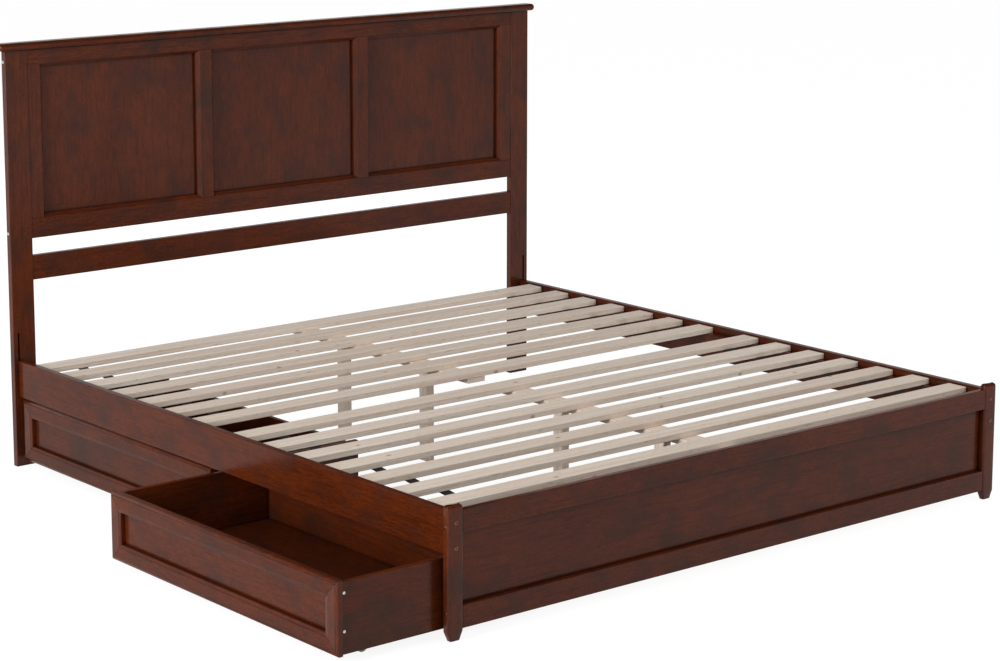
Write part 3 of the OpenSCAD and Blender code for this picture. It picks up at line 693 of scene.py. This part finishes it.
class BED_OT_slats(bpy.types.Operator):
    """Finishes the two slat rolls and makes their webbing, which sags between the slats, and its staples."""

    bl_idname = "bed.slats"
    bl_label = "Slats and webbing"

    def execute(self, context):
        finishes, sizes = context.scene.bed_finishes, context.scene.bed_sizes
        rolls = {name: solids(name) for name in ("slat_roll_foot", "slat_roll_head")}
        for i, (name, slats) in enumerate(rolls.items()):
            ordered = sorted(slats, key=lambda box: box[0].y)
            step = ordered[1][0].y - ordered[0][0].y
            start = ordered[0][0].y - (step - (ordered[0][1].y - ordered[0][0].y)) / 2
            pine = bare_pine(f"bare_pine_{name}", X, (5.3 + i, 2.1, 7.4 * i), finishes, start / MM, step / MM)
            dress(pine, name)
        webbing = bmesh.new()
        staples = bmesh.new()
        every_slat = [box for slats in rolls.values() for box in slats]
        for low, high in solids("slat_webbing"):
            over = [s for s in every_slat if s[0].y > low.y - MM and s[1].y < high.y + MM]
            self.strap(webbing, low, high, over, sizes.strap_sag)
            for slat_low, slat_high in over:
                crown = Vector((sizes.staple, sizes.staple_width, sizes.staple_wire))
                centre = Vector(((low.x + high.x) / 2, (slat_low.y + slat_high.y) / 2, low.z - crown.z / 2))
                made = bmesh.ops.create_cube(staples, size=1, matrix=Matrix.LocRotScale(centre, None, crown))
                edges = list({e for v in made["verts"] for e in v.link_edges})
                rounded(staples, edges, sizes.staple_edge, 2)
        piece("webbing_straps", webbing, "bed_frame", [woven_webbing(finishes)], ["slat_webbing"])
        piece("webbing_staples", staples, "bed_frame", [bpy.data.materials["zinc_steel"]])
        return {"FINISHED"}

    def strap(self, mesh, low, high, over, sag):
        """A flat strap that touches each slat above it and hangs a little between them."""
        shape = bmesh.new()
        facets = int((high.y - low.y) / STRAP_STEP)
        bmesh.ops.create_grid(shape, x_segments=4, y_segments=facets, size=0.5)
        for vert in shape.verts:
            y = low.y + (vert.co.y + 0.5) * (high.y - low.y)
            behind = [s[1].y for s in over if s[1].y <= y]
            ahead = [s[0].y for s in over if s[0].y >= y]
            under = any(s[0].y <= y <= s[1].y for s in over)
            drop = 0.0
            if behind and ahead and not under:
                t = (y - max(behind)) / (min(ahead) - max(behind))
                drop = sag * 4 * t * (1 - t)
            vert.co = Vector(((low.x + high.x) / 2 + vert.co.x * (high.x - low.x), y, high.z - drop))
        faces = shape.verts[:] + shape.edges[:] + shape.faces[:]
        bmesh.ops.solidify(shape, geom=faces, thickness=high.z - low.z)
        top = max(v.co.z for v in shape.verts)
        bmesh.ops.translate(shape, verts=shape.verts[:], vec=(0, 0, high.z - top))
        gather(mesh, shape)


class BED_OT_centre(bpy.types.Operator):
    """Finishes the centre boards and their four legs."""

    bl_idname = "bed.centre"
    bl_label = "Centre support"

    def execute(self, context):
        finishes = context.scene.bed_finishes
        beam = bare_pine("bare_pine_beam", Y, (1.1, 6.3, 2.2), finishes)
        dress(beam, "centre_beam_foot", "centre_beam_head")
        legs = bare_pine("bare_pine_legs", Z, (4.4, 0.8, 9.1), finishes)
        dress(legs, "centre_legs")
        return {"FINISHED"}


class BED_OT_drawers(bpy.types.Operator):
    """Finishes the two drawers and sets the screws into their sides."""

    bl_idname = "bed.drawers"
    bl_label = "Drawers"

    def execute(self, context):
        finishes, sizes = context.scene.bed_finishes, context.scene.bed_sizes
        for i, drawer in enumerate(DRAWERS):
            # The front's rails and panel took a little more stain than its stiles
            along = stained_wood(f"{drawer}_front_rails", Y, (2.6, 7.1 * i, 4.3), finishes, shade=0.1)
            upright = stained_wood(f"{drawer}_front_stiles", Z, (9.2, 3.4, 1.8 * i), finishes)
            panel = stained_wood(f"{drawer}_front_veneer", Y, (0.7, 5.9 * i, 6.6), finishes, shade=0.1)
            dress(along, f"{drawer}_front_top", f"{drawer}_front_bottom", eased=sizes.eased)
            dress(upright, f"{drawer}_front_stile_foot", f"{drawer}_front_stile_head", eased=sizes.eased)
            dress(panel, f"{drawer}_front_panel")
            sides = stained_wood(f"{drawer}_sides", X, (3.3, 1.4 * i, 7.9), finishes)
            # The box's front, back and bottom are darker and satin
            across = stained_wood(
                f"{drawer}_box", Y, (7.3, 2.2 * i, 0.6), finishes, roughness=0.3, shade=0.15)
            dress(sides, f"{drawer}_side_foot", f"{drawer}_side_head", eased=sizes.eased)
            dress(across, f"{drawer}_box_front", f"{drawer}_back", f"{drawer}_bottom")
            self.screws(drawer, sizes)
        return {"FINISHED"}

    def screws(self, drawer, sizes):
        """Two screws through each side into the ends of the box's front."""
        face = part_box(f"{drawer}_front_top")[0].x
        mesh = bmesh.new()
        for side, out in (("foot", -1), ("head", 1)):
            low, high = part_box(f"{drawer}_side_{side}")
            y = low.y if out < 0 else high.y
            for z in (sizes.side_screw_low, sizes.side_screw_high):
                fastener(mesh, (face + sizes.side_screw_x, y, z), (0, out, 0), sizes.side_screw_r,
                    sizes.side_screw_h, sizes.screw_recess, sizes.side_screw_shank, sizes.side_screw_l,
                    star=True)
        piece(f"{drawer}_side_screws", mesh, drawer, [bpy.data.materials["zinc_steel"]])


class BED_OT_casters(bpy.types.Operator):
    """Makes the drawers' wheels and plate screws and finishes the housings."""

    bl_idname = "bed.casters"
    bl_label = "Casters"

    def execute(self, context):
        finishes, sizes = context.scene.bed_finishes, context.scene.bed_sizes
        housing = moulded_plastic("caster_housing_plastic", finishes.housing, finishes.scuff, 0.42, 0.45)
        nylon = moulded_plastic("wheel_nylon", finishes.nylon, finishes.scuff, 0.33, 0.7)
        for drawer in DRAWERS:
            dress(housing, f"{drawer}_casters")
            screws = bmesh.new()
            for low, high in solids(f"{drawer}_casters"):
                for x in (low.x + sizes.plate_screw_x, high.x - sizes.plate_screw_x):
                    for y in (low.y + sizes.plate_screw_y, high.y - sizes.plate_screw_y):
                        place = (x, y, high.z - sizes.plate)
                        fastener(screws, place, (0, 0, -1), sizes.plate_screw_r, sizes.plate_screw_h,
                            sizes.plate_screw_recess, sizes.plate_screw_shank, sizes.plate_screw_l,
                            star=True)
            piece(f"{drawer}_caster_screws", screws, drawer, [bpy.data.materials["zinc_steel"]])
            for corner in CORNERS:
                self.wheel(f"{drawer}_wheel_{corner}", nylon, sizes)
        return {"FINISHED"}

    def wheel(self, name, nylon, sizes):
        """A solid wheel: hub, dished web and a tread with rounded shoulders, spun about its axle."""
        low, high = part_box(name)
        centre = (low + high) / 2
        radius = (high.z - low.z) / 2
        half = (high.y - low.y) / 2
        bore, hub, web = sizes.wheel_bore, sizes.wheel_hub, radius - sizes.wheel_rim
        sunk = sizes.wheel_dish - half
        mesh = bmesh.new()
        near = [(bore, -half), (hub, -half), (hub + MM, sunk), (web - MM, sunk), (web, -half),
            (radius, -half)]
        section = near + [(r, -y) for r, y in reversed(near)]
        verts = [mesh.verts.new((r, y, 0)) for r, y in section]
        edges = [mesh.edges.new((a, b)) for a, b in zip(verts, verts[1:] + verts[:1])]
        bmesh.ops.spin(mesh, geom=verts + edges, cent=(0, 0, 0), axis=(0, 1, 0), dvec=(0, 0, 0),
            angle=2 * pi, steps=56, use_merge=True, use_duplicate=False)
        shoulders = [e for e in mesh.edges if all(
            abs(v.co.xz.length - radius) < NEAR and abs(abs(v.co.y) - half) < NEAR for v in e.verts)
            and abs(e.verts[0].co.y - e.verts[1].co.y) < NEAR]
        rounded(mesh, shoulders, sizes.wheel_shoulder, 4)
        bmesh.ops.translate(mesh, verts=mesh.verts[:], vec=centre)
        piece(name + "_tread", mesh, name, [nylon], [name])


class BED_OT_fasteners(bpy.types.Operator):
    """Makes the bolts in the foot posts and the screws in the posts' outer faces."""

    bl_idname = "bed.fasteners"
    bl_label = "Bolts and screws"

    def execute(self, context):
        sizes = context.scene.bed_sizes
        zinc, bronze = bpy.data.materials["zinc_steel"], bpy.data.materials["bronzed_steel"]
        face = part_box("footboard_post_left")[0].y - sizes.post_grow
        bolts = bmesh.new()
        for low, high in solids("rail_bolts"):
            centre = (low + high) / 2
            fastener(bolts, (centre.x, face, centre.z), (0, -1, 0), (high.x - low.x) / 2, face - low.y,
                sizes.bolt_socket, sizes.bolt_shank, high.y - face)
        piece("foot_post_bolts", bolts, "bed_frame", [bronze], ["rail_bolts"])
        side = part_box("headboard_post_right")[1].x
        screws = bmesh.new()
        for low, high in solids("post_screws"):
            centre = (low + high) / 2
            out = 1 if centre.x > 0 else -1
            reach = max(abs(low.x), abs(high.x))
            end = min(abs(low.x), abs(high.x))
            fastener(screws, (out * side, centre.y, centre.z), (out, 0, 0), (high.z - low.z) / 2,
                reach - side, sizes.screw_recess, sizes.post_shank, side - end, star=True,
                finish=int(centre.y < 0))
        piece("post_screw_set", screws, "bed_frame", [zinc, bronze], ["post_screws"])
        return {"FINISHED"}


class BED_PT_panel(bpy.types.Panel):
    """Lists the bed's steps and settings."""

    bl_label = "Platform bed"
    bl_idname = "BED_PT_panel"
    bl_space_type = "VIEW_3D"
    bl_region_type = "UI"
    bl_category = "Bed"

    def draw(self, context):
        for step in STEPS:
            self.layout.operator(step.bl_idname)
        for group in (context.scene.bed_finishes, context.scene.bed_sizes, context.scene.bed_studio):
            box = self.layout.box()
            for label in group.__annotations__:
                box.prop(group, label)


GROUPS = {"bed_finishes": BedFinishes, "bed_sizes": BedSizes, "bed_studio": BedStudio}
STEPS = (BED_OT_stage, BED_OT_metal, BED_OT_headboard, BED_OT_footboard, BED_OT_side_rails, BED_OT_slats,
    BED_OT_centre, BED_OT_drawers, BED_OT_casters, BED_OT_fasteners)


def register():
    """Adds the classes and their settings to Blender."""
    for made in (*GROUPS.values(), *STEPS, BED_PT_panel):
        bpy.utils.register_class(made)
    for name, group in GROUPS.items():
        setattr(bpy.types.Scene, name, bpy.props.PointerProperty(type=group))


def unregister():
    """Takes them away again."""
    for name in GROUPS:
        delattr(bpy.types.Scene, name)
    for made in (BED_PT_panel, *reversed(STEPS), *GROUPS.values()):
        bpy.utils.unregister_class(made)


def main():
    """Makes the bed and its studio."""
    register()
    bpy.ops.bed.stage()
    bpy.ops.bed.metal()
    bpy.ops.bed.headboard()
    bpy.ops.bed.footboard()
    bpy.ops.bed.side_rails()
    bpy.ops.bed.slats()
    bpy.ops.bed.centre()
    bpy.ops.bed.drawers()
    bpy.ops.bed.casters()
    bpy.ops.bed.fasteners()


if __name__ == "__main__":
    main()
